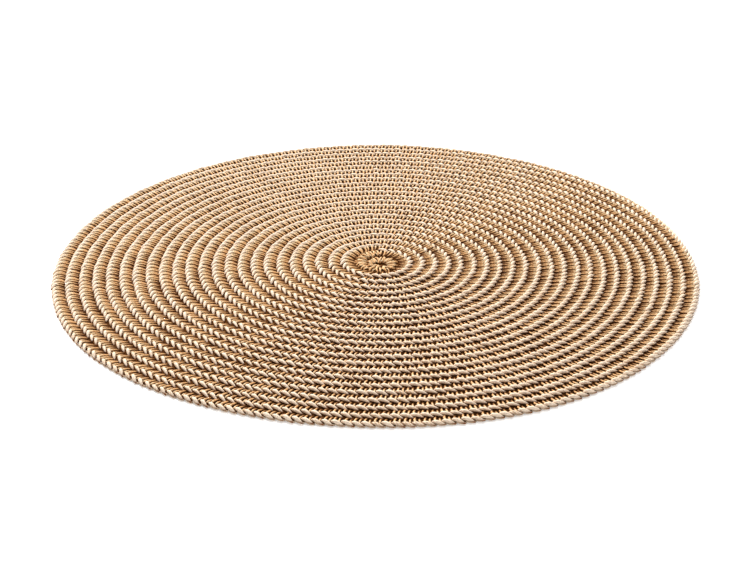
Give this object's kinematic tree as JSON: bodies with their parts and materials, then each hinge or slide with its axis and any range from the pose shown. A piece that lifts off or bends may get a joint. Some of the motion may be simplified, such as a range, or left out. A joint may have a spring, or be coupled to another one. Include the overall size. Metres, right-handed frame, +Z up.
{
  "type": "crocheted placemat",
  "caption": "Round table placemat crocheted as one continuous spiral of ribbed rounds, cream rib over golden tan stitches, lying flat.",
  "frame": {"origin": "centre of the mat's outline, on the surface that it lies on", "axes": "+Z up through the mat's thickness, +Y towards the far side of the mat, +X to the right"},
  "size_m": [0.3761, 0.381, 0.003],
  "materials": {
    "yarn": "two-tone crochet: satin cream ridges over golden tan stitches"
  },
  "bodies": {
    "root": {"mat": "yarn"}
  },
  "joints": []
}
